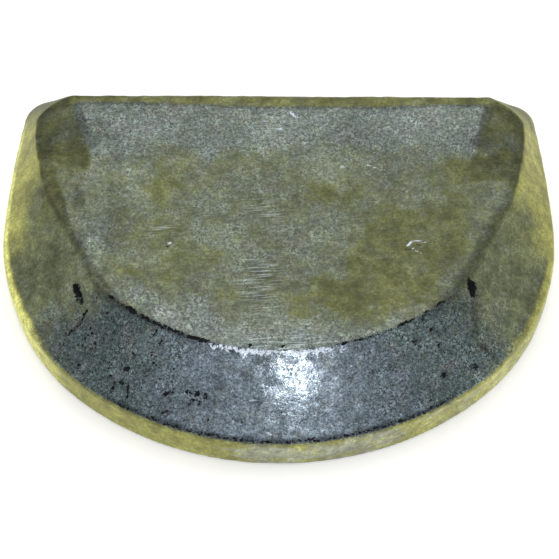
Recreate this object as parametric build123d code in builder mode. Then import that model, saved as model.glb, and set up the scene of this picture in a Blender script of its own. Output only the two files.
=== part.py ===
"""Sacrificial anode for a stern drive: a half-moon block, cast in one piece.

The mounting face lies on XY with the origin under the middle of the block. The straight
back edge looks along +Y, the round nose along -Y, and the wasting face along +Z.
"""

import os
from math import asin, degrees, radians, sin, sqrt, tan

from build123d import *

# Driving dimensions in millimetres, angles in degrees.

# Rim: the upright wall that follows the half-moon outline.
width = 140.0  # across the hips
depth = 101.6  # from the straight back to the nose
rim_height = 10.8  # mounting face to the top of the upright wall
rim_bevel = 0.8  # softens the wall's top edge
nose_half_angle = 36.0  # where the nose's arc runs into the cheeks, from the centre line
crease_half_angle = 47.0  # where the cheeks run into the hips
cheek_radius = 60.0
hip_radius = 56.0
side_radius = 260.0  # the sides are almost straight and lean in towards the back
back_corner_radius = 7.0

# Wasting face: flat, and set in from the rim by the run of each slope.
overall_height = 23.8
nose_run = 18.5  # run of the front slope on the centre line
cheek_run = 18.0
crease_run = 17.3  # run where the front slope meets the side slopes in a soft crease
hip_run = 13.4  # run of the side slope across the widest place
side_bow = 0.8  # how far the wasting face's side bows out behind the widest place
back_run = 8.0  # run of the back slope
shoulder_side_run = 8.6  # the cut-off back corners, measured from the rim's extremes
shoulder_back_run = 17.0
shoulder_cut = 7.8  # width of each cut-off corner along X
shoulder_bow = 0.9  # how far each cut-off corner bows out

# Worn shoulders: behind each cut-off corner the wasting face falls away in a twisted facet.
facet_drop = 3.0  # fall at the cut-off corner
facet_back_width = 9.5  # width of the facet at the cut-off corner
facet_middle_width = 12.0  # width over the middle third
facet_end_width = 3.0
facet_length = 30.0  # from the cut-off corner forwards to where it runs out
facet_lead = 4.0  # how far the cutting form stands clear of the metal

# Cast edges.
face_edge_radius = 2.2
base_edge_radius = 0.6

# Fixing: two blind tapped holes in the mounting face, modelled at tap-drill size.
hole_pitch = 70.0
hole_radius = 3.4  # M8 coarse
hole_depth = 14.0
drill_point_angle = 118.0

# Rim outline, right half: the nose, cheek and hip arcs run smoothly into one another, and
# the nose's radius follows from the width.
nose_sine = sin(radians(nose_half_angle))
crease_sine = sin(radians(crease_half_angle))
nose_width = width / 2 - hip_radius * (1 - crease_sine) - cheek_radius * (crease_sine - nose_sine)
nose_radius = nose_width / nose_sine
nose_centre = Vector(0, nose_radius - depth / 2)
nose_end = Vector(0, -1).rotate(Axis.Z, nose_half_angle)
cheek_end = Vector(0, -1).rotate(Axis.Z, crease_half_angle)
cheek_centre = nose_centre + nose_end * (nose_radius - cheek_radius)
hip_centre = cheek_centre + cheek_end * (cheek_radius - hip_radius)
side_centre = hip_centre + Vector(hip_radius - side_radius, 0)
corner_y = depth / 2 - back_corner_radius
corner_reach = side_radius - back_corner_radius
corner_rise = corner_y - side_centre.Y
corner_x = side_centre.X + sqrt(corner_reach**2 - corner_rise**2)
corner_centre = Vector(corner_x, corner_y)
corner_lean = degrees(asin(corner_rise / corner_reach))

# Wasting face outline, right half.
face_nose = Vector(0, nose_run - depth / 2)
face_cheek = nose_centre + nose_end * (nose_radius - cheek_run)
face_crease = cheek_centre + cheek_end * (cheek_radius - crease_run)
face_hip = Vector(width / 2 - hip_run, hip_centre.Y)
shoulder_front = Vector(width / 2 - shoulder_side_run, depth / 2 - shoulder_back_run)
shoulder_back = Vector(shoulder_front.X - shoulder_cut, depth / 2 - back_run)


# Facet sections: distance in front of the cut-off corner, width, and fall across that width.
facet_stations = [
    (-shoulder_back_run - facet_lead, facet_back_width, facet_drop),
    (0, facet_back_width, facet_drop),
    (facet_length / 3, facet_middle_width, facet_drop * 0.55),
    (facet_length * 2 / 3, facet_middle_width, facet_drop * 0.25),
    (facet_length, facet_end_width, facet_drop * 0.03),
]


def rim_outline(inset=0):
    """Draw the half-moon line of the rim: nose, cheek, hip, side, corner and back, mirrored."""
    corner_radius = back_corner_radius - inset
    cheek_angle = crease_half_angle - nose_half_angle
    CenterArc(nose_centre, nose_radius - inset, -90, nose_half_angle)
    CenterArc(cheek_centre, cheek_radius - inset, nose_half_angle - 90, cheek_angle)
    CenterArc(hip_centre, hip_radius - inset, crease_half_angle - 90, 90 - crease_half_angle)
    CenterArc(side_centre, side_radius - inset, 0, corner_lean)
    corner = CenterArc(corner_centre, corner_radius, corner_lean, 90 - corner_lean)
    Line(corner @ 1, (0, depth / 2 - inset))
    mirror(about=Plane.YZ)


def face_outline():
    """Draw the wasting face's line, with a corner opposite each change in the rim."""
    nose = TangentArc(face_nose, face_cheek, tangent=(1, 0))
    TangentArc(face_cheek, face_crease, tangent=nose % 1)
    Line(face_crease, face_hip)
    SagittaArc(face_hip, shoulder_front, -side_bow)
    SagittaArc(shoulder_front, shoulder_back, -shoulder_bow)
    Line(shoulder_back, (0, shoulder_back.Y))
    mirror(about=Plane.YZ)


def facet_section(facet_width, drop):
    """Draw what lies above the right shoulder's facet, on an upright section across it."""
    crease_x = shoulder_front.X - facet_width
    slope = drop / facet_width
    start_x = crease_x - facet_lead
    end_x = width / 2 + facet_lead
    top = overall_height + facet_lead
    Polyline(
        (start_x, overall_height + slope * facet_lead),
        (end_x, overall_height - slope * (end_x - crease_x)),
        (end_x, top),
        (start_x, top),
        close=True,
    )


with BuildPart() as drilled_hole:
    with BuildSketch(Plane.XZ):
        with BuildLine():
            Polyline(
                (0, 0),
                (hole_radius, 0),
                (hole_radius, hole_depth),
                (0, hole_depth + hole_radius / tan(radians(drill_point_angle / 2))),
                close=True,
            )
        make_face()
    revolve(axis=Axis.Z)

with BuildPart() as anode_casting:
    with BuildSketch():
        with BuildLine():
            rim_outline()
        make_face()
    extrude(amount=rim_height - rim_bevel)
    with BuildSketch(Plane.XY.offset(rim_height - rim_bevel)):
        with BuildLine():
            rim_outline()
        make_face()
    with BuildSketch(Plane.XY.offset(rim_height + rim_bevel / 2)):
        with BuildLine():
            rim_outline(inset=rim_bevel)
        make_face()
    with BuildSketch(Plane.XY.offset(overall_height)):
        with BuildLine():
            face_outline()
        make_face()
    loft(ruled=True)
    fillet(anode_casting.faces().sort_by(Axis.Z)[-1].edges(), face_edge_radius)
    fillet(anode_casting.faces().sort_by(Axis.Z)[0].edges(), base_edge_radius)

    # The shoulders' facets, each lofted through upright sections from back to front.
    for distance, facet_width, drop in facet_stations:
        with BuildSketch(Plane.XZ.offset(distance - shoulder_front.Y)):
            with BuildLine():
                facet_section(facet_width, drop)
            make_face()
    right_facet = loft(ruled=True, mode=Mode.SUBTRACT)
    mirror(right_facet, about=Plane.YZ, mode=Mode.SUBTRACT)

    # The tapped holes, drilled up from the mounting face.
    with Locations((-hole_pitch / 2, 0), (hole_pitch / 2, 0)):
        add(drilled_hole.part, mode=Mode.SUBTRACT)

anode_casting.part.label = "anode_casting"
os.makedirs("parts", exist_ok=True)
export_step(anode_casting.part, "parts/anode_casting.step")
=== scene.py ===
"""Looks of the half-moon sacrificial anode: one casting with a dull, tarnished, pitted skin.

Lengths of the casting and of the camera are in millimetres until they are written, because
the frame is in metres. The floor and the lamps are in metres.
"""

import math

import bpy
import numpy as np
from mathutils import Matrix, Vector
from mathutils.kdtree import KDTree


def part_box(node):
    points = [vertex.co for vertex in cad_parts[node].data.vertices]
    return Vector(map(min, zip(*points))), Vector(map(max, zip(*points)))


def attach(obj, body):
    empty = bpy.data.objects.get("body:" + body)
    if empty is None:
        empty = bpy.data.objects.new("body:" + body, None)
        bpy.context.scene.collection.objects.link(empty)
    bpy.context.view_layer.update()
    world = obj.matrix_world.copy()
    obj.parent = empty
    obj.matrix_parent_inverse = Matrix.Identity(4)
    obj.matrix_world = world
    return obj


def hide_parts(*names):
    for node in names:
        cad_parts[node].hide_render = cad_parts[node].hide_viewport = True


MM = 0.001
NODE = "anode_casting"

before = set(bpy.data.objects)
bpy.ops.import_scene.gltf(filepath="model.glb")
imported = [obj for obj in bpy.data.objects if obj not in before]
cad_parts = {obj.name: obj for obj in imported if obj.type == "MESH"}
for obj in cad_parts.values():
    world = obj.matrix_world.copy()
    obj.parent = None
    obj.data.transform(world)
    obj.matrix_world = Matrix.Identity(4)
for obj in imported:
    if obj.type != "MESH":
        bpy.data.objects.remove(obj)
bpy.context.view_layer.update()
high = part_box(NODE)[1]
half_depth = high.y / MM
face_height = high.z / MM

# Sizes that the casting's own source gives, repeated because this script can't read it.
RIM_HEIGHT = 10.8
HOLE_PITCH = 70.0
HOLE_RADIUS = 3.4
HOLE_DEPTH = 14.0
SHOULDER_BACK_RUN = 17.0
shoulder_y = half_depth - SHOULDER_BACK_RUN

# The M8 thread in each hole.
THREAD_ROOT_RADIUS = 4.0
THREAD_PITCH = 1.25
THREAD_SINK = 0.15  # how far the ridge's foot stands in the wall
THREAD_RUNOUT = 1.5  # plain hole left above the thread

VOXEL = 0.62  # mesh size of the skin
FRONT_BULGE = 0.2  # the front slope is slightly full
PIT_SPREAD = 1.4  # a pit's dip is this many times as wide as its dark outline
LIP_REACH = 1.25  # a dent's lip stands this many times the dent's radius away
LIP_BREADTH = 0.35  # in the same measure
SCATTERED_PITS = 85
MARK_FADE = 1.6  # a mark's weight falls from 1 to 0 over this distance
ARC_CENTRE_Y = 10.0  # angles round the front are measured from here
FAR = 99.0  # distance of what is too far away to matter
SEED = 11


# ---- small numeric helpers -------------------------------------------------------------


def smooth(low_edge, high_edge, value):
    """Ease from 0 at low_edge to 1 at high_edge; the edges may be given in either order."""
    t = np.clip((value - low_edge) / (high_edge - low_edge), 0, 1)
    return t * t * (3 - 2 * t)


def between(value, start, full, still, end):
    """Ease from 0 at start to 1 at full, stay there until still, and ease back to 0 at end."""
    return smooth(start, full, value) * smooth(end, still, value)


def noise(points, size, seed):
    """Smooth random field from -1 to 1 with features about this size across."""
    cells = 64
    table = np.random.RandomState(SEED + seed).uniform(-1, 1, (cells, cells, cells))
    scaled = points / size + 1000.0  # keeps every cell number positive
    base = np.floor(scaled).astype(int)
    ease = scaled - base
    ease = ease * ease * (3 - 2 * ease)
    total = np.zeros(len(points))
    for corner in np.ndindex(2, 2, 2):
        index = (base + corner) % cells
        weight = np.prod(np.where(corner, ease, 1 - ease), axis=1)
        total += weight * table[index[:, 0], index[:, 1], index[:, 2]]
    return total


def layered_noise(points, size, octaves, seed):
    """Sum of noise fields, each half the size and half the strength of the one before."""
    total = np.zeros(len(points))
    for octave in range(octaves):
        total += noise(points, size / 2**octave, seed + octave) / 2**octave
    return total


def turned(points, x, y, angle):
    """Distances in plan from one place, along a direction and across it."""
    turn = math.radians(angle)
    along = (points[:, 0] - x) * math.cos(turn) + (points[:, 1] - y) * math.sin(turn)
    across = (points[:, 1] - y) * math.cos(turn) - (points[:, 0] - x) * math.sin(turn)
    return along, across


def patch(points, x, y, length, breadth, angle=0.0):
    """Soft elliptical patch seen from above: 1 in its middle, 0 past its edge."""
    along, across = turned(points, x, y, angle)
    return smooth(1.0, 0.0, np.sqrt((along / length) ** 2 + (across / breadth) ** 2))


def round_from_nose(points):
    """Angle in plan from the nose, in degrees, alike on the left and on the right."""
    return np.degrees(np.arctan2(np.abs(points[:, 0]), ARC_CENTRE_Y - points[:, 1]))


def pit_distance(points, x, y, length, breadth, angle):
    """How far each vertex is, in plan, outside a pit's oval outline; negative inside it."""
    along, across = turned(points, x, y, angle)
    reach = np.sqrt((along / length) ** 2 + (across / breadth) ** 2)
    return (reach - 1) * min(length, breadth)


def distance_to_line(points, places):
    """How far each vertex is, in plan, from a line drawn through these places."""
    reach = np.full(len(points), FAR)
    for start, end in zip(places, places[1:]):
        start = np.array(start)
        span = np.array(end) - start
        share = np.clip((points[:, :2] - start) @ span / (span @ span), 0, 1)
        away = points[:, :2] - start - share[:, None] * span
        reach = np.minimum(reach, np.hypot(away[:, 0], away[:, 1]))
    return reach


def closeness(distance, half_breadth):
    """Weight of a mark: one half at its outline, more inside it and less outside.

    It changes little from one vertex to the next, so that the material can draw a crisp
    outline where it passes one half.
    """
    return 0.5 + (half_breadth - distance) / MARK_FADE


def ragged(points, size, amount, seed):
    """The same points, pushed about by noise, so that what is drawn on them has rough edges."""
    push = [layered_noise(points, size, 2, seed + 7 * axis) for axis in range(3)]
    return points + amount * np.stack(push, axis=1)


def srgb(red, green, blue):
    """A colour in 0 to 255 as Blender's linear RGBA."""

    def linear(channel):
        level = channel / 255
        return level / 12.92 if level <= 0.04045 else ((level + 0.055) / 1.055) ** 2.4

    return (linear(red), linear(green), linear(blue), 1.0)


# ---- shape of the casting's skin -------------------------------------------------------

# Pits in the casting: x, y, half length, half breadth, angle in the plan, depth.
PITS = [
    (-49.0, -13.9, 1.1, 0.85, 105, 0.9),  # comma-shaped blowhole on the left, upper end
    (-48.3, -15.6, 1.4, 0.75, 115, 0.9),
    (-47.5, -17.2, 1.1, 0.55, 120, 0.7),  # its tail
    (46.6, -13.4, 1.8, 1.1, 95, 1.0),  # blowhole at the top of the right crease
    (47.0, -15.0, 1.2, 0.8, 80, 0.8),
    (-35.8, -33.5, 0.9, 0.6, 20, 0.7),
    (-37.2, -36.1, 0.8, 0.4, 10, 0.4),
    (-39.4, -36.9, 0.9, 0.4, 60, 0.4),
    (-35.7, -38.2, 1.2, 0.3, 85, 0.4),
    (-25.8, -39.6, 1.1, 0.45, 10, 0.7),
    (-20.8, -40.0, 1.0, 0.45, -20, 0.8),
    (-18.9, -40.3, 0.7, 0.6, 60, 0.6),
    (-17.2, -40.6, 0.9, 0.45, -30, 0.6),
    (-20.3, -41.5, 0.8, 0.35, 30, 0.4),
    (-18.6, -42.0, 0.6, 0.4, -30, 0.3),
    (-26.4, -43.2, 0.7, 0.35, 0, 0.3),
    (0.9, -31.4, 0.7, 0.4, 0, 0.5),
    (-6.9, -31.3, 0.7, 0.35, 0, 0.3),
    (32.4, -28.1, 0.7, 0.5, 0, 0.4),
    (38.4, -28.1, 0.9, 0.4, -50, 0.4),
    (36.4, -25.2, 0.5, 0.4, 30, 0.2),
    (34.2, -23.4, 0.6, 0.35, 60, 0.2),
    (39.5, -33.7, 0.7, 0.8, 0, 0.4),
    (47.1, -30.7, 1.1, 0.5, 10, 0.4),
    (-56.2, 31.0, 0.3, 0.25, 0, 0.2),
]

# Knocks that raise a lip: x, y, radius, depth, lip.
DENTS = [
    (-26.8, -2.6, 1.3, 0.45, 0.22),
    (-16.1, -2.5, 2.0, 0.25, 0.08),
    (31.4, -2.9, 1.5, 0.40, 0.25),
    (34.2, -4.2, 1.1, 0.20, 0.15),
    (16.7, 20.0, 1.0, 0.30, 0.18),
    (23.2, 20.1, 1.2, 0.25, 0.16),
    (3.4, 36.4, 1.6, 0.30, 0.25),
    (1.8, 33.6, 1.1, 0.20, 0.16),
]


def open_holes(mesh):
    """Widen each hole from tap-drill size to the thread's root, where the threads stand."""
    wall = HOLE_RADIUS * 1.05  # just past the wall, so that its vertices count
    widening = THREAD_ROOT_RADIUS / HOLE_RADIUS
    for vertex in mesh.vertices:
        for side in (-1, 1):
            axis_x = side * HOLE_PITCH / 2 * MM
            if math.hypot(vertex.co.x - axis_x, vertex.co.y) < wall * MM:
                vertex.co.x = axis_x + (vertex.co.x - axis_x) * widening
                vertex.co.y *= widening


def remeshed_casting():
    """An even, fine mesh of the CAD casting."""
    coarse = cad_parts[NODE].data.copy()
    open_holes(coarse)
    piece = bpy.data.objects.new("casting_skin", coarse)
    bpy.context.scene.collection.objects.link(piece)
    remesh = piece.modifiers.new("even_mesh", "REMESH")
    remesh.mode = "VOXEL"
    remesh.voxel_size = VOXEL * MM
    remesh.use_smooth_shade = True
    graph = bpy.context.evaluated_depsgraph_get()
    fine = bpy.data.meshes.new_from_object(piece.evaluated_get(graph))
    piece.modifiers.clear()
    piece.data = fine
    return piece


def edge_ends(mesh):
    """The two vertices of every edge."""
    ends = np.zeros(len(mesh.edges) * 2, int)
    mesh.edges.foreach_get("vertices", ends)
    return ends.reshape(-1, 2)


def zones(points, normals):
    """Where each part of the surface is, as weights from 0 to 1.

    The face is the wasting face, under is the mounting face, the rim is the upright wall, the
    flank is every slope between rim and face, and the front is the slope round the nose.
    """
    height = points[:, 2]
    upward = normals[:, 2]
    around = round_from_nose(points) + 4 * layered_noise(points, 5.0, 3, 25)
    face = smooth(0.90, 0.985, upward) * smooth(14.0, 17.0, height)
    rim = smooth(RIM_HEIGHT + 0.1, RIM_HEIGHT - 0.7, height) * smooth(-0.8, -0.3, upward)
    under = smooth(-0.3, -0.8, upward) * smooth(2.0, 1.0, height)
    flank = np.clip(1 - face - rim - under, 0, 1)
    front = flank * smooth(68, 50, around)
    return {"face": face, "rim": rim, "under": under, "flank": flank, "front": front}


def fade_shoulders(mesh, points, zone):
    """Smooth the wasting face's back corners, where the facets run out without a line."""
    rounds = 40
    ends = edge_ends(mesh)
    neighbours = np.bincount(ends.ravel(), minlength=len(points))[:, None]
    freedom = zone["face"] * smooth(38, 42, np.abs(points[:, 0])) * smooth(-5, 5, points[:, 1])
    for _ in range(rounds):
        total = np.zeros_like(points)
        np.add.at(total, ends[:, 0], points[ends[:, 1]])
        np.add.at(total, ends[:, 1], points[ends[:, 0]])
        points = points + (total / neighbours - points) * freedom[:, None]
    return points


def roughen(points, normals, zone):
    """How far each vertex moves along its normal, in millimetres."""
    outside = 1 - zone["under"]
    move = outside * 0.16 * layered_noise(points, 26.0, 2, 1)
    move += outside * 0.05 * layered_noise(points, 6.0, 3, 5)
    move += zone["front"] * 0.025 * layered_noise(points, 2.2, 2, 9)
    rise = np.clip((points[:, 2] - RIM_HEIGHT) / (face_height - RIM_HEIGHT), 0, 1)
    move += zone["front"] * FRONT_BULGE * 4 * rise * (1 - rise)
    streaks = points * (1.0, 1.0, 5.0)
    move += zone["rim"] * 0.10 * layered_noise(streaks, 16.0, 3, 13)
    move += zone["under"] * 0.03 * layered_noise(points, 9.0, 2, 17)

    # Ragged, worn edge round the wasting face.
    edge = zone["flank"] * smooth(face_height - 2.6, face_height - 1.2, points[:, 2])
    move -= edge * 0.22 * (0.5 + 0.5 * layered_noise(points, 3.2, 3, 21))

    for x, y, length, breadth, angle, depth in PITS:
        dip = patch(points, x, y, length * PIT_SPREAD, breadth * PIT_SPREAD, angle)
        move -= depth * dip * (points[:, 2] > RIM_HEIGHT)
    for x, y, radius, depth, lip in DENTS:
        reach = np.hypot(points[:, 0] - x, points[:, 1] - y) / radius
        ring = np.exp(-(((reach - LIP_REACH) / LIP_BREADTH) ** 2)) * lip
        move += (ring - depth * smooth(1.0, 0.0, reach)) * (points[:, 2] > RIM_HEIGHT)
    return move


def scatter_pits(points, zone):
    """Small casting pits: clusters on the left of the front slope, and strays elsewhere."""
    random = np.random.RandomState(SEED)
    rough = ragged(points, 1.4, 0.5, 81)
    move = np.zeros(len(points))
    dark = np.zeros(len(points))
    chance = zone["front"] ** 4 * (smooth(0, -30, points[:, 0]) + 0.05)
    chance += 0.003 * zone["face"]
    clumps = smooth(-0.2, 0.7, layered_noise(points, 9.0, 2, 85))
    chance *= clumps * (points[:, 2] > RIM_HEIGHT + 1)
    chance /= chance.sum()
    for index in random.choice(len(points), SCATTERED_PITS, replace=False, p=chance):
        turn = random.uniform(0, math.pi)
        away = rough - rough[index]
        along = away[:, 0] * math.cos(turn) + away[:, 1] * math.sin(turn)
        spread = np.sqrt((away**2).sum(axis=1) + 2.5 * along**2)
        radius = 0.35 + 0.5 * random.uniform(0, 1) ** 2
        depth = random.uniform(0.08, 0.22)
        move -= depth * smooth(1.0, 0.0, spread / radius)
        dark = np.maximum(dark, closeness(spread, 0.5 * radius))
    return move, dark


def near_hole(points):
    """Which vertices lie in a tapped hole or just round it, where the skin stays as it is."""
    right = np.hypot(points[:, 0] - HOLE_PITCH / 2, points[:, 1])
    left = np.hypot(points[:, 0] + HOLE_PITCH / 2, points[:, 1])
    beside = np.minimum(left, right) < THREAD_ROOT_RADIUS + 1.0
    return beside & (points[:, 2] < HOLE_DEPTH + 4)


# ---- colours of the skin, kept on the mesh as weights ----------------------------------

# Where some regions begin, are full, stay full until, and end.
OLIVE_Y = (-30, -20, 20, 31)
BAND_FADE_Y = (-12, -6, 26, 36)
FRONT_X = (-47, -38, 38, 50)
BARE_AND_HIGHLIGHT_X = (-26, -14, 10, 17)
BACK_LINE = (5.2, 6.2, 6.4, 7.0)  # grimy line along the back, measured past the shoulder

# Straw, partly tarnish and partly a painted reflection, on the steep sides starts this far back.
STRAW_START_RIGHT = 6
STRAW_START_LEFT = 12

# Where the soft fold between each facet and the wasting face runs.
FOLD_Y = (9.6, 20.3, 29.6, 39.3, 46.0)
FOLD_X = (49.0, 48.0, 49.8, 52.8, 55.0)

# Inner border of the olive band along the left edge of the wasting face.
BAND_Y = (-10.8, -1.6, 1.3, 10.2, 14.7, 20.0, 28.0)
BAND_X = (-44.5, -49.8, -51.2, -53.5, -55.0, -56.8, -58.0)

# Sooty cracks: places along each one as x, y, then its half breadth.
CRACKS = [
    ([(-43.2, -17.6), (-45.0, -19.0)], 0.05),
    ([(-45.9, -20.0), (-47.2, -21.8), (-48.9, -23.1), (-51.0, -24.0)], 0.25),
    ([(48.6, -26.0), (50.1, -26.7)], 0.15),
    ([(-27.6, -3.9), (-26.6, -4.1)], 0.15),
    ([(30.8, -3.9), (31.8, -4.4)], 0.15),
    ([(33.6, -2.9), (34.8, -3.0)], 0.1),
]

# Painted shade along the folds beside the facets, the left edge of the wasting face and the right
# crease: places along each one as x, y, then its half breadth.
SHADE_LINES = [
    ([(-52.3, 39.3), (-49.0, 29.6), (-47.3, 26.5)], 0.8),
    ([(53.4, 39.3), (50.6, 29.6), (49.2, 27.5)], 0.8),
    ([(-50.4, 13.5), (-49.2, 8.4)], 0.8),
    ([(-54.5, 11.5), (-51.2, 1.3), (-49.6, -1.6), (-44.3, -10.8), (-40.2, -17.0)], 0.5),
    ([(46.8, -17.6), (47.4, -24.2), (48.6, -26.2), (52.0, -27.2)], 0.8),
]

# Olive tarnish on the wasting face: x, y, length, breadth, angle, strength.
OLIVE_PATCHES = [
    (29, -3, 19, 15, 15, 1.0),
    (18, -17, 26, 8, 0, 0.5),
    (14, 12, 14, 9, 0, 0.4),
    (40, 4, 9, 16, 20, 0.5),
    (45, 18, 9, 12, 0, 0.35),
    (-27, 16, 9, 12, 0, 0.4),
    (-19, 27, 7, 5, 0, -0.3),
    (-27, -2, 11, 12, 0, 0.35),
    (-34, -12, 9, 5, -20, 0.35),
    (-18, -8, 14, 6, 10, 0.3),
    (-27, -21, 20, 7, -25, -0.6),
    (-45, -2, 9, 12, 0, -0.5),
]

# Mottled grime on the left of the wasting face: x, y, length, breadth.
MOTTLED_PATCH = (-45, 3, 13, 22)

# Straw specks on the wasting face: x, y, length, breadth.
STRAW_SPECKS = [
    (-38.8, 16.4, 1.0, 0.9),
    (-38.2, -11.0, 1.0, 0.9),
]

# Fine brushing, left and right along the wasting face: x, y, length, breadth, angle, strength.
BRUSHED_PATCHES = [
    (-4, -14, 9, 12, 0, 1.4),
    (-4, 7, 9, 5, 0, 0.9),
    (0, -30, 20, 6, 0, 1.2),
    (-26, -1, 9, 3, 0, 1.0),
    (-2, 33, 9, 5, 0, 0.6),
]

# Knocks and scratches painted white as glints: places along each mark, then its half breadth.
GLINTS = [
    ([(-27.1, -3.1), (-26.4, -2.8)], 0.3),
    ([(31.3, -2.9), (32.0, -2.2)], 0.3),
    ([(32.2, -1.9), (33.8, -1.8), (35.6, -2.0)], 0.25),
    ([(32.2, -4.0), (32.8, -4.3), (34.5, -5.2)], 0.2),
    ([(15.3, 20.2), (16.5, 20.4)], 0.2),
    ([(21.5, 21.0), (24.2, 20.1)], 0.2),
    ([(2.8, 37.2), (4.3, 35.6)], 0.35),
    ([(-2.0, 32.3), (0.3, 32.0)], 0.2),
    ([(-3.0, 34.6), (-5.6, 34.2)], 0.12),
    ([(-6.8, -42.0), (-4.8, -42.1)], 0.1),
    ([(-3.6, -42.6), (-2.4, -42.4)], 0.15),
    ([(-0.2, -43.4), (1.4, -43.7)], 0.1),
    ([(-2.6, -48.3), (-1.6, -48.5)], 0.25),
    ([(-1.8, -40.5), (-0.8, -40.5)], 0.1),
    ([(13.3, -37.4), (13.8, -37.3)], 0.25),
    ([(13.6, -40.5), (14.2, -40.3)], 0.2),
    ([(17.0, -34.8), (17.3, -34.7)], 0.15),
    ([(42.2, -31.0), (42.6, -30.8)], 0.2),
    ([(36.4, -20.6), (36.9, -20.4)], 0.1),
]


def distance_to_edge(mesh, points, zone):
    """How far each vertex is from the wasting face's outline, for those near its height."""
    lowest = face_height - 6
    ends = edge_ends(mesh)
    level = zone["face"][ends] - 0.5
    crossed = (level[:, 0] * level[:, 1] < 0) & (points[ends[:, 0], 2] > lowest)
    ends, level = ends[crossed], level[crossed]
    share = (level[:, 0] / (level[:, 0] - level[:, 1]))[:, None]
    outline = points[ends[:, 0]] * (1 - share) + points[ends[:, 1]] * share
    tree = KDTree(len(outline))
    for index, place in enumerate(outline):
        tree.insert(place, index)
    tree.balance()
    reach = np.full(len(points), FAR)
    for index in np.flatnonzero(points[:, 2] > lowest):
        reach[index] = tree.find(points[index])[2]
    return reach


class Skin:
    """What the masks read about each vertex: its place, its region and some shared noise."""

    def __init__(self, mesh, points, normals, zone):
        self.points = points
        self.x, self.y, self.z = points[:, 0], points[:, 1], points[:, 2]
        self.upward = normals[:, 2]
        self.around = round_from_nose(points)
        self.edge = distance_to_edge(mesh, points, zone)
        self.face = zone["face"]
        self.rim = zone["rim"]
        self.flank = zone["flank"]
        self.front = zone["front"]
        self.above_rim = self.z > RIM_HEIGHT

        # Noise of three sizes, and the places pushed about for blurred, rough and crisp marks.
        self.wide = layered_noise(points, 22.0, 3, 31)
        self.middle = layered_noise(points, 7.0, 3, 35)
        self.small = layered_noise(points, 2.2, 2, 45)
        self.loose = ragged(points, 9.0, 3.0, 41)
        self.rough = ragged(points, 1.6, 0.45, 61)
        self.crisp = ragged(points, 1.6, 0.15, 65)
        self.find_regions()

    def find_regions(self):
        """Regions that more than one mask reads."""
        x, y, middle = self.x, self.y, self.middle

        # Facets behind the back corners, and the band inside the left edge.
        past_fold = np.abs(x) - np.interp(y, FOLD_Y, FOLD_X)
        self.facet = self.face * smooth(-0.6, 1.4, past_fold + 0.9 * middle)
        self.facet *= smooth(13, 29, y + 5 * middle)
        past_band = x - np.interp(y, BAND_Y, BAND_X) + 0.3 * middle
        self.band = self.face * smooth(0.5, -0.7, past_band) * between(y, *BAND_FADE_Y)

        # The worn edge along the back, which bows inwards a little, and the back slope below it.
        bow = 1.1 * smooth(45, 15, np.abs(x - 5))
        self.past_shoulder = y + 0.3 * middle + bow - shoulder_y
        self.back_edge = smooth(6.2, 6.9, self.past_shoulder) * smooth(18, 20, self.z)
        self.back = smooth(half_depth - 9, half_depth - 5, y) * (self.z < face_height - 3)
        self.back *= smooth(56, 48, np.abs(x))

        # The slopes beside the front slope, and where along the outline a place is.
        self.side = (self.flank - self.front) * (1 - 0.45 * self.back)
        self.before_corner = smooth(46, 35, y + 2 * middle)
        self.at_front = between(x, *FRONT_X) * smooth(-14, -26, y)
        self.left = smooth(0, -16, x)


def olive_mask(skin):
    """Olive tarnish: patches on the wasting face, and all of the sides and the rim; on the facets
    and the back edge it is partly a painted reflection.
    """
    olive = 0.6 * between(skin.loose[:, 1], *OLIVE_Y)
    for *place, strength in OLIVE_PATCHES:
        olive += strength * patch(skin.loose, *place)
    olive = olive * (1 + 0.15 * skin.middle) + 0.12 * skin.wide
    olive = skin.face * np.maximum(olive, skin.band)
    # On the facets and the back edge the olive is partly a painted reflection, where they slant
    # away.
    return olive + skin.side + skin.rim + 0.8 * skin.facet + skin.back_edge


def pale_mask(skin):
    """Faded tarnish on the rim below the front slope, and less of it on the right."""
    centre = smooth(38, 8, np.abs(skin.x - 11))
    right = 0.62 * smooth(15, 40, skin.x)
    return skin.rim * np.maximum(centre, right) * (skin.y < 0)


def straw_and_reflection_mask(skin):
    """Straw tarnish and painted reflection: the rim and the steep sides above it, more the steeper
    they are, but less at the back corners; with a painted highlight along the rim's top edge and
    the back edge.
    """
    start = np.where(skin.x > 0, STRAW_START_RIGHT, STRAW_START_LEFT)
    # Painted reflection: the steeper a side, the more straw.
    steep = skin.side * smooth(0.76, 0.60, skin.upward + 0.05 * skin.middle)
    steep *= smooth(start, start + 10, skin.y)
    low_side = skin.side * smooth(19.0, 12.5, skin.z + 0.8 * skin.middle)
    low_side *= smooth(-4, 8, skin.y + 3 * skin.middle)
    top_line = smooth(RIM_HEIGHT + 1.4, RIM_HEIGHT + 0.6, skin.z + 0.3 * skin.middle)
    straw_and_reflection = skin.rim * (1 - 0.6 * smooth(9.0, 10.8, skin.z) * smooth(-14, -26, skin.y))
    straw_and_reflection = np.maximum(straw_and_reflection, np.maximum(low_side, steep))
    straw_and_reflection *= (0.3 + 0.7 * skin.before_corner) * (1 - 0.6 * skin.back)
    # Painted highlight along the rim's top edge and on the back edge.
    straw_and_reflection += skin.side * top_line + 0.1 * skin.back_edge
    for place in STRAW_SPECKS:
        straw_and_reflection = np.maximum(straw_and_reflection, 0.7 * patch(skin.rough, *place) * skin.face)
    return straw_and_reflection


def yellow_highlight_mask(skin):
    """Painted highlight in bright yellow at the left end of the rim and along its top edge there,
    and a little at its right end.
    """
    top_line = skin.side * smooth(RIM_HEIGHT + 1.4, RIM_HEIGHT + 0.4, skin.z)
    left_end = np.maximum(skin.rim, top_line) * smooth(-46, -59, skin.x)
    right_end = 0.4 * skin.rim * smooth(44, 56, skin.x)
    return (left_end + right_end) * skin.before_corner


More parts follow.
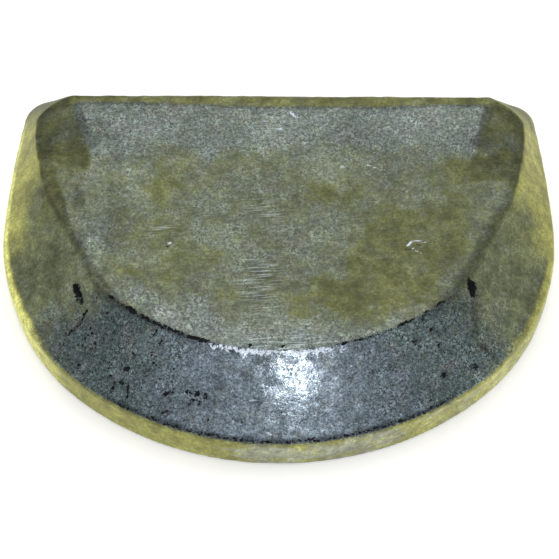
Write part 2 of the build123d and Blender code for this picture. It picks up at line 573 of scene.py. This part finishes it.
def soot_mask(skin, pit_dark):
    """Soot: the foot of the front slope, its upper edge, cracks and pits."""
    foot_distance = np.abs(skin.z - RIM_HEIGHT - 0.25 - 0.08 * skin.small)
    foot = skin.at_front * closeness(foot_distance, 0.18)
    lip = smooth(12, 16, np.abs(skin.x + 1.5)) * smooth(50, 42, skin.x) * smooth(-15.5, -19, skin.y)
    lip *= closeness(skin.edge + 0.25 * skin.small, 0.1 + 0.3 * skin.left)
    marks = [closeness(distance_to_line(skin.crisp, places), half) for places, half in CRACKS]
    marks += [closeness(pit_distance(skin.crisp, *outline), 0) for *outline, _ in PITS]
    soot = np.maximum.reduce([foot, lip, pit_dark])
    return np.maximum(soot, np.maximum.reduce(marks) * skin.above_rim)


def grime_and_shade_mask(skin):
    """Grime and painted shade: painted shade along the wasting face's edges, on the facets, on the
    back corners and along the shade lines; grime as mottle; and darkening at the slopes' feet and
    top, the band and the back line.
    """
    # Painted shade along the wasting face's side edges.
    side_edge_shade = smooth(2.6, 0.3, skin.edge + 0.4 * skin.middle)
    side_edge_shade *= smooth(44, 56, skin.around) * smooth(40, 34, skin.y)
    side_edge_shade *= 1 - 0.9 * smooth(-18, -12, skin.y) * (skin.x < 0)
    # Painted shade just below the wasting face's left edge.
    left_edge_shade = smooth(1.8, 0.4, skin.edge) * skin.left * skin.flank
    # Painted shade on the back corners, which darkens their sheen.
    corner = (1 - skin.face) * smooth(36, 46, skin.y + 3 * skin.middle)
    corner *= smooth(50, 56, np.abs(skin.x)) * smooth(3, 9, skin.z)
    slope_top = skin.front * smooth(13, 18, skin.z) * smooth(5, -15, skin.x)
    slope_foot = skin.at_front * smooth(0.9, 0.2, np.abs(skin.z - RIM_HEIGHT - 0.4))
    side_foot = skin.side * smooth(1.2, -0.2, np.abs(skin.z - RIM_HEIGHT - 1.2))
    mottle = skin.face * smooth(-0.5, 0.7, layered_noise(skin.points, 5.0, 3, 51))
    # The edges, the facets, the back corners and the shade lines are painted shade; the mottle and
    # the cloudy sides are grime.
    regions = [
        (0.8, side_edge_shade),
        (0.5, left_edge_shade),
        (0.75, skin.facet),
        (0.3, skin.band),
        (0.6, corner),
        (0.2, slope_top),
        (0.6, slope_foot),
        (0.4, side_foot * smooth(4, -4, skin.y)),
        (0.15, skin.side * smooth(-0.6, 0.8, skin.wide)),
        (0.6, skin.face * between(skin.past_shoulder, *BACK_LINE)),
        (0.45, mottle * patch(skin.loose, *MOTTLED_PATCH)),
        (0.22, mottle),
    ]
    # Painted shade along the folds and the creases.
    for places, half_breadth in SHADE_LINES:
        shade_line = smooth(2.4 * half_breadth, 0, distance_to_line(skin.rough, places))
        regions.append((0.8, shade_line * skin.above_rim))
    return sum(strength * region for strength, region in regions)


def bare_and_highlight_mask(skin):
    """Worn metal along the front of the wasting face's edge, painted white also as the highlight
    that the edge catches.
    """
    bare_and_highlight = skin.flank * smooth(face_height - 1.3, face_height - 0.6, skin.z)
    bare_and_highlight *= between(skin.x, *BARE_AND_HIGHLIGHT_X) * (skin.y < 0)
    return 0.65 * bare_and_highlight * (0.65 + 0.35 * smooth(-0.7, 0.3, skin.middle))


def glint_mask(skin):
    """Knocks and scratches painted white as glints."""
    marks = [closeness(distance_to_line(skin.crisp, places), half) for places, half in GLINTS]
    return np.maximum.reduce(marks) * skin.above_rim


def brushed_mask(skin):
    """Fine brushing on the wasting face: a trace all over, and more in patches."""
    brushed = 0.08 * skin.face
    for *place, strength in BRUSHED_PATCHES:
        brushed = np.maximum(brushed, strength * patch(skin.loose, *place) * skin.face)
    return brushed


def tarnish_masks(skin, pit_dark):
    """Weights for the named colours, kept on the mesh for the material to mix."""
    weights = {
        "olive": olive_mask(skin),
        "pale": pale_mask(skin),
        "straw_and_reflection": straw_and_reflection_mask(skin),
        "yellow_highlight": yellow_highlight_mask(skin),
        "soot": soot_mask(skin, pit_dark),
        "grime_and_shade": grime_and_shade_mask(skin),
        "front": skin.front,
        "nose": skin.front * smooth(48, 18, skin.around),
        "side": skin.side * smooth(16, -4, skin.y),
        "bare_and_highlight": bare_and_highlight_mask(skin),
        "glint": glint_mask(skin),
        "brushed": brushed_mask(skin),
    }
    return {name: np.clip(weight, 0, 1) for name, weight in weights.items()}


# ---- shape and colours together --------------------------------------------------------


def dress_skin(piece):
    """Give the casting its real unevenness and store the weights its material reads."""
    mesh = piece.data
    count = len(mesh.vertices)
    points = np.zeros(count * 3)
    normals = np.zeros(count * 3)
    mesh.vertices.foreach_get("co", points)
    mesh.vertices.foreach_get("normal", normals)
    points = points.reshape(-1, 3) / MM
    normals = normals.reshape(-1, 3)
    zone = zones(points, normals)
    points = fade_shoulders(mesh, points, zone)
    pit_move, pit_dark = scatter_pits(points, zone)
    move = (roughen(points, normals, zone) + pit_move) * ~near_hole(points)
    masks = tarnish_masks(Skin(mesh, points, normals, zone), pit_dark)
    shaped = points + normals * move[:, None]
    shaped[:, 2] = np.maximum(shaped[:, 2], 0)
    mesh.vertices.foreach_set("co", (shaped * MM).ravel())
    for name, weights in masks.items():
        layer = mesh.attributes.new(name, "FLOAT", "POINT")
        layer.data.foreach_set("value", weights.astype(np.float32))
    mesh.update()


# ---- the threads -----------------------------------------------------------------------


def thread(name, axis_x):
    """The V-shaped ridge of a metric thread, wound up the wall of one tapped hole."""
    steps_per_turn = 48
    fade_steps = steps_per_turn / 3
    start = THREAD_PITCH * 0.5
    turns = (HOLE_DEPTH - THREAD_RUNOUT - start) / THREAD_PITCH
    steps = int(turns * steps_per_turn)
    foot = THREAD_ROOT_RADIUS + THREAD_SINK
    half_foot = 0.47 * THREAD_PITCH
    half_crest = 0.09 * THREAD_PITCH
    profile = [
        (foot, -half_foot),
        (HOLE_RADIUS, -half_crest),
        (HOLE_RADIUS, half_crest),
        (foot, half_foot),
    ]
    vertices = []
    for step in range(steps + 1):
        angle = 2 * math.pi * step / steps_per_turn
        rise = start + THREAD_PITCH * step / steps_per_turn
        fade = min(1.0, step / fade_steps, (steps - step) / fade_steps)
        for radius, offset in profile:
            reach = foot + (radius - foot) * fade
            x = axis_x + reach * math.cos(angle)
            y = reach * math.sin(angle)
            vertices.append((x * MM, y * MM, (rise + offset) * MM))
    width = len(profile)
    faces = []
    for step in range(steps):
        for side in range(width):
            here = step * width + side
            beside = step * width + (side + 1) % width
            faces.append((here, beside, beside + width, here + width))
    faces.append(tuple(range(width))[::-1])
    faces.append(tuple(steps * width + side for side in range(width)))
    mesh = bpy.data.meshes.new(name)
    mesh.from_pydata(vertices, [], faces)
    mesh.update()
    piece = bpy.data.objects.new(name, mesh)
    bpy.context.scene.collection.objects.link(piece)
    return piece


# ---- materials -------------------------------------------------------------------------

GREY = srgb(127, 138, 131)  # metal of the wasting face
MAUVE = srgb(124, 122, 120)  # stains in the metal
FLINT = srgb(104, 121, 120)  # metal of the front slope
# Partly a painted reflection: the bluish metal is lighter round the front slope's middle, where the
# flash's highlight falls.
SLATE_AND_REFLECTION = srgb(131, 145, 158)  # bluish metal in the slope's middle
OLIVE = srgb(105, 109, 68)  # tarnish of the wasting face and the back of the sides
MOSS = srgb(110, 116, 87)  # tarnish of the sides further forward
# Straw is partly tarnish and partly a painted reflection on the rim and the steep sides.
STRAW = srgb(169, 169, 96)  # tarnish of the rim and the steep sides
LILAC = srgb(171, 175, 151)  # faded streaks in it
# Painted highlight on the straw, where the rim's ends catch the light.
YELLOW_HIGHLIGHT = srgb(236, 236, 142)  # its brightest stretch
SOOT = srgb(7, 9, 12)
# Worn metal, painted white also as highlights on the front edge, knocks, specks and brushing lines.
BARE_AND_HIGHLIGHT = srgb(224, 236, 250)

DULL_SPECULAR = 0.14
RELIEF_DEPTH = 0.13
PAPER_SHADE = 0.82
PAPER_GLOW = 0.35


class Nodes:
    """Short calls for building one material's node tree."""

    def __init__(self, name):
        self.material = bpy.data.materials.new(name)
        self.material.use_nodes = True
        self.tree = self.material.node_tree
        self.tree.nodes.clear()

    def add(self, kind, **settings):
        """A new node of this kind, with these properties."""
        node = self.tree.nodes.new(kind)
        for key, value in settings.items():
            setattr(node, key, value)
        return node

    def join(self, source, target):
        """Link an output to an input."""
        self.tree.links.new(source, target)

    def fill(self, sockets, values):
        """Give each socket its fixed value, or link it to the output that is given."""
        for socket, value in zip(sockets, values):
            if isinstance(value, (int, float, tuple)):
                socket.default_value = value
            else:
                self.join(value, socket)

    def weight(self, name):
        """One of the weights that dress_skin stores on the mesh."""
        return self.add("ShaderNodeAttribute", attribute_name=name).outputs["Fac"]

    def math(self, operation, first, second=0.5, clamp=False):
        """One operation on one or two values, kept within 0 and 1 if clamped."""
        node = self.add("ShaderNodeMath", operation=operation, use_clamp=clamp)
        self.fill(node.inputs[:2], (first, second))
        return node.outputs[0]

    def mix(self, factor, first, second, blend="MIX"):
        """Mix two colours, which go into sockets 6 and 7 of the node."""
        node = self.add("ShaderNodeMix", data_type="RGBA", blend_type=blend)
        self.fill((node.inputs[0], node.inputs[6], node.inputs[7]), (factor, first, second))
        return node.outputs[2]

    def noise(self, vector, scale, detail=4.0, roughness=0.55):
        """Noise with features of about 1 / scale metres."""
        node = self.add("ShaderNodeTexNoise")
        names = ("Vector", "Scale", "Detail", "Roughness")
        self.fill([node.inputs[name] for name in names], (vector, scale, detail, roughness))
        return node.outputs["Fac"]

    def stretch(self, vector, factors, turn=0.0):
        """Draw what follows this many times longer along each axis, then turned in plan."""
        node = self.add("ShaderNodeMapping", vector_type="TEXTURE")
        node.inputs["Scale"].default_value = factors
        node.inputs["Rotation"].default_value = (0, 0, math.radians(turn))
        self.join(vector, node.inputs["Vector"])
        return node.outputs[0]

    def band(self, value, start, end, low=0.0, high=1.0):
        """Ease from low to high while the value goes from start to end."""
        node = self.add("ShaderNodeMapRange", interpolation_type="SMOOTHSTEP")
        names = ("Value", "From Min", "From Max", "To Min", "To Max")
        self.fill([node.inputs[name] for name in names], (value, start, end, low, high))
        return node.outputs[0]

    def tone(self, colour, field, span, tones, strength=1.0):
        """Darken and lighten a colour by a field, leaving its hue alone."""
        grey = self.add("ShaderNodeCombineColor")
        level = self.band(field, *span, *tones)
        self.fill(grey.inputs, (level, level, level))
        return self.mix(strength, colour, grey.outputs[0], "MULTIPLY")


class Fields:
    """Noise and weights that more than one layer of the alloy reads."""

    def __init__(self, n):
        self.place = n.add("ShaderNodeTexCoord").outputs["Object"]
        self.middle = n.noise(self.place, 300, 5, 0.6)
        self.drifts = n.noise(self.place, 190, 2, 0.5)
        self.fine = n.noise(self.place, 1250, 3, 0.7)
        self.grit = n.noise(self.place, 2600, 2, 0.6)
        self.brushing = n.noise(n.stretch(self.place, (18, 1, 1), 6.0), 2900, 2, 0.5)
        self.front = n.weight("front")
        self.straw_and_reflection = n.weight("straw_and_reflection")
        self.lines = n.math("MULTIPLY", n.weight("brushed"), n.band(self.brushing, 0.48, 0.66))

        # Olive tarnish comes in drifts and flecks, and tarnish hides the metal's grain.
        flecks = n.noise(self.place, 420, 4, 0.65)
        olive = n.math("ADD", n.weight("olive"), n.band(self.drifts, 0.35, 0.65, -0.13, 0.13))
        self.olive = n.math("ADD", olive, n.band(flecks, 0.36, 0.64, -0.14, 0.14), clamp=True)
        cover = n.math("MULTIPLY", self.olive, n.band(n.weight("side"), 0, 1, 1.0, 0.7))
        cover = n.math("MAXIMUM", self.straw_and_reflection, cover)
        self.grain = n.band(cover, 0, 1, 1.0, 0.45)


def metal_colour(n, fields):
    """Grey metal on the wasting face, turning to flint and slate on the front slope; the slate
    round the nose is partly a painted reflection, lighter where the flash's highlight falls.
    """
    metal = n.mix(fields.front, GREY, FLINT)
    metal = n.mix(n.band(n.noise(fields.place, 240, 3), 0.5, 0.68, 0.0, 0.5), metal, MAUVE)
    drifts = n.band(fields.drifts, 0.35, 0.65, -0.3, 0.3)
    bluish = n.math("ADD", n.weight("nose"), drifts, clamp=True)
    return n.mix(n.math("MULTIPLY", bluish, fields.front), metal, SLATE_AND_REFLECTION)


def tarnished_colour(n, fields):
    """The metal under olive and straw tarnish, the straw partly a painted reflection and the yellow
    a painted highlight, toned by noise, brushing, grime and painted shade.
    """
    place = fields.place
    colour = n.mix(fields.olive, metal_colour(n, fields), n.mix(n.weight("side"), OLIVE, MOSS))
    streaks = n.noise(n.stretch(place, (1, 1, 1 / 7)), 130, 4, 0.6)
    faded = n.math("ADD", streaks, n.math("MULTIPLY", n.weight("pale"), 0.3))
    straw_and_reflection = n.mix(n.band(faded, 0.64, 0.84), STRAW, LILAC)
    straw_and_reflection = n.mix(n.weight("yellow_highlight"), straw_and_reflection, YELLOW_HIGHLIGHT)
    colour = n.mix(fields.straw_and_reflection, colour, straw_and_reflection)
    salt = n.math("MULTIPLY", fields.grain, n.band(fields.front, 0, 1, 0.6, 1.0))
    colour = n.tone(colour, n.noise(place, 60, 5), (0.3, 0.7), (0.82, 1.18))
    colour = n.tone(colour, n.noise(place, 150, 4, 0.7), (0.34, 0.66), (0.90, 1.09))
    colour = n.tone(colour, fields.middle, (0.3, 0.7), (0.70, 1.30))
    colour = n.tone(colour, fields.fine, (0.30, 0.70), (0.56, 1.42), fields.grain)
    colour = n.tone(colour, fields.grit, (0.33, 0.67), (0.60, 1.36), salt)
    colour = n.tone(colour, fields.brushing, (0.32, 0.68), (0.72, 1.22), n.weight("brushed"))
    return n.tone(colour, n.weight("grime_and_shade"), (0, 1), (1.0, 0.5))


def bare_and_highlight_weights(n, fields):
    """Weight of the knocks and the worn front edge, painted white as their glints and highlight,
    then with painted highlights on specks of the front slope and on brushing lines added.
    """
    worn_edge_and_highlight = n.math("ADD", n.weight("bare_and_highlight"), n.band(fields.fine, 0.3, 0.7, -0.3, 0.3))
    knocks_and_glints = n.math("MAXIMUM", n.band(worn_edge_and_highlight, 0.4, 0.6), n.band(n.weight("glint"), 0.42, 0.6))
    # Painted sparkle: bright white specks on the front slope.
    specks = n.math("MULTIPLY", fields.front, n.band(fields.grit, 0.66, 0.74))
    bare_and_highlight = n.math("MAXIMUM", knocks_and_glints, n.math("MULTIPLY", specks, 0.35))
    # Painted highlight on the brushing lines.
    bare_and_highlight = n.math("MAXIMUM", bare_and_highlight, n.math("MULTIPLY", fields.lines, 0.28))
    return knocks_and_glints, bare_and_highlight


def soot_weight(n, fields):
    """Weight of the soot in pits and cracks, of dark pores and of fine fissures."""
    dirt = n.math("ADD", n.weight("soot"), n.band(fields.fine, 0.3, 0.7, -0.28, 0.28))
    pores = n.math("MULTIPLY", n.band(fields.grit, 0.40, 0.32), fields.front)
    from_ridge = n.math("ABSOLUTE", n.math("SUBTRACT", n.noise(fields.place, 900, 3, 0.6), 0.5))
    fissures = n.math(
        "MULTIPLY",
        n.band(from_ridge, 0.06, 0.015),
        n.band(fields.middle, 0.42, 0.58, 0.1, 1.0),
    )
    fissures = n.math("MULTIPLY", fissures, n.band(fields.front, 0, 1, 0.55, 0.85))
    fissures = n.math("MULTIPLY", fissures, n.band(fields.grain, 0.45, 1, 0.45, 1.0))
    specks = n.math("MAXIMUM", n.math("MULTIPLY", pores, 0.75), fissures)
    specks = n.math("MULTIPLY", specks, n.band(n.weight("nose"), 0.8, 1.0, 1.0, 0.5))
    return n.math("MAXIMUM", n.band(dirt, 0.40, 0.58), specks, clamp=True)


def relief(n, fields):
    """Fine bumps of the cast and brushed skin, flatter on the front slope."""
    height = n.math("ADD", fields.middle, n.math("MULTIPLY", fields.fine, 0.7))
    height = n.math("ADD", height, n.math("MULTIPLY", fields.lines, 0.35))
    bump = n.add("ShaderNodeBump")
    bump.inputs["Distance"].default_value = RELIEF_DEPTH * MM
    n.join(n.band(fields.front, 0, 1, 0.5, 0.3), bump.inputs["Strength"])
    n.join(height, bump.inputs["Height"])
    return bump.outputs[0]


def alloy_material():
    """Dull cast alloy: grey and slate metal under olive and straw tarnish, soot in the pits, with
    painted shade, reflections and highlights.
    """
    n = Nodes("tarnished_anode_alloy")
    fields = Fields(n)
    knocks_and_glints, bare_and_highlight = bare_and_highlight_weights(n, fields)
    soot = soot_weight(n, fields)
    colour = n.mix(bare_and_highlight, tarnished_colour(n, fields), BARE_AND_HIGHLIGHT)
    colour = n.mix(soot, colour, SOOT)

    # Tarnish, soot, and the knocks and worn edge painted white as highlights look less metallic,
    # and soot is rougher.
    tarnish = n.math("MAXIMUM", fields.straw_and_reflection, fields.olive)
    clean = n.math("SUBTRACT", 1.0, n.math("MAXIMUM", soot, knocks_and_glints), clamp=True)
    metallic = n.math("MULTIPLY", n.band(fields.front, 0, 1, 0.5, 0.8), clean)
    metallic = n.math("MULTIPLY", metallic, n.band(tarnish, 0, 1, 1.0, 0.4))
    rough = n.band(fields.front, 0, 1, 0.46, 0.19)
    rough = n.math("ADD", rough, n.band(fields.middle, 0.3, 0.7, -0.03, 0.05))
    rough = n.math("ADD", rough, n.math("MULTIPLY", soot, 0.3), clamp=True)

    shader = n.add("ShaderNodeBsdfPrincipled")
    shader.inputs["Specular IOR Level"].default_value = DULL_SPECULAR
    n.join(colour, shader.inputs["Base Color"])
    n.join(metallic, shader.inputs["Metallic"])
    n.join(rough, shader.inputs["Roughness"])
    n.join(relief(n, fields), shader.inputs["Normal"])
    output = n.add("ShaderNodeOutputMaterial")
    n.join(shader.outputs[0], output.inputs["Surface"])
    return n.material


def floor_material():
    """White paper that glows a little where the camera, a reflection or glass sees it."""
    n = Nodes("white_paper")
    paper = n.add("ShaderNodeBsdfDiffuse")
    paper.inputs["Color"].default_value = (PAPER_SHADE, PAPER_SHADE, PAPER_SHADE, 1)
    glow = n.add("ShaderNodeEmission")
    glow.inputs["Strength"].default_value = PAPER_GLOW
    glowing = n.add("ShaderNodeAddShader")
    n.join(paper.outputs[0], glowing.inputs[0])
    n.join(glow.outputs[0], glowing.inputs[1])
    ray = n.add("ShaderNodeLightPath").outputs
    seen = n.math("ADD", ray["Is Camera Ray"], ray["Is Glossy Ray"])
    seen = n.math("ADD", seen, ray["Is Transmission Ray"], clamp=True)
    choice = n.add("ShaderNodeMixShader")
    n.fill(choice.inputs, (seen, paper.outputs[0], glowing.outputs[0]))
    output = n.add("ShaderNodeOutputMaterial")
    n.join(choice.outputs[0], output.inputs["Surface"])
    return n.material


# ---- stage -----------------------------------------------------------------------------

FLOOR_REACH = 3.0
FLOOR_DROP = 0.0002  # keeps the floor clear of the mounting face
LAMP_TARGET = (0, 0, 0.01)
WORLD_STRENGTH = 0.65
WHITE = (1.0, 1.0, 1.0)
WARM_WHITE = (1.0, 0.95, 0.93)

# The camera stands in front of the nose and looks down on the wasting face.
CAMERA_ELEVATION = 58.0
CAMERA_DISTANCE = 420.0
CAMERA_SHIFT = 4.1  # how far towards the back it stands from that distance
CAMERA_TARGET = (0.19, 1.63)
CAMERA_LENS = 104.8
CAMERA_SENSOR = 36.0
CAMERA_ROLL = 0.48


def make_floor():
    """A sheet of white paper that is part of the stage, not of the object."""
    corners = [(-1, -1), (1, -1), (1, 1), (-1, 1)]
    vertices = [(x * FLOOR_REACH, y * FLOOR_REACH, 0) for x, y in corners]
    mesh = bpy.data.meshes.new("floor")
    mesh.from_pydata(vertices, [], [(0, 1, 2, 3)])
    mesh.materials.append(floor_material())
    floor = bpy.data.objects.new("floor", mesh)
    floor.location.z = -FLOOR_DROP
    bpy.context.scene.collection.objects.link(floor)


def polar(distance, elevation, bearing=0.0):
    """A place this far from the origin; bearing 0 is in front of the nose, 90 on the right."""
    up = math.radians(elevation)
    across = math.radians(bearing)
    level = distance * math.cos(up)
    return Vector((level * math.sin(across), -level * math.cos(across), distance * math.sin(up)))


def aim(thing, target, roll=0.0):
    """Point an object's -Z axis at a place."""
    direction = Vector(target) - thing.location
    thing.rotation_euler = direction.to_track_quat("-Z", "Y").to_euler()
    thing.rotation_euler.rotate_axis("Z", math.radians(roll))


def softbox(name, place, size, power, tint):
    """A square lamp that shines on the object."""
    lamp = bpy.data.lights.new(name, "AREA")
    lamp.size = size
    lamp.energy = power
    lamp.color = tint
    box = bpy.data.objects.new(name, lamp)
    box.location = place
    aim(box, LAMP_TARGET)
    bpy.context.scene.collection.objects.link(box)


def make_lights():
    """The flash that glints on the front slope, a wide lamp above, and white surroundings."""
    flash_place = polar(distance=0.9, elevation=51.5, bearing=7)
    top_place = polar(distance=1.2, elevation=75, bearing=180)
    softbox("flash", flash_place, size=0.05, power=0.74, tint=WARM_WHITE)
    softbox("top", top_place, size=1.2, power=6.0, tint=WHITE)
    world = bpy.data.worlds.new("studio")
    bpy.context.scene.world = world
    world.use_nodes = True
    back = world.node_tree.nodes["Background"]
    back.inputs["Color"].default_value = (*WHITE, 1.0)
    back.inputs["Strength"].default_value = WORLD_STRENGTH


def make_camera():
    """The photograph's view."""
    data = bpy.data.cameras.new("camera")
    data.lens = CAMERA_LENS
    data.sensor_width = CAMERA_SENSOR
    data.clip_start = 0.01
    camera = bpy.data.objects.new("camera", data)
    camera.location = polar(CAMERA_DISTANCE * MM, CAMERA_ELEVATION)
    camera.location.y += CAMERA_SHIFT * MM
    aim(camera, (CAMERA_TARGET[0] * MM, CAMERA_TARGET[1] * MM, 0), CAMERA_ROLL)
    bpy.context.scene.collection.objects.link(camera)
    bpy.context.scene.camera = camera


# ---- put together ----------------------------------------------------------------------

skin = remeshed_casting()
dress_skin(skin)
alloy = alloy_material()
skin.data.materials.clear()
skin.data.materials.append(alloy)
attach(skin, "root")
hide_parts(NODE)
for name, side in (("thread_left", -1), ("thread_right", 1)):
    ridge = thread(name, side * HOLE_PITCH / 2)
    ridge.data.materials.append(alloy)
    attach(ridge, "root")

make_floor()
make_lights()
make_camera()
bpy.context.scene.view_settings.view_transform = "Standard"
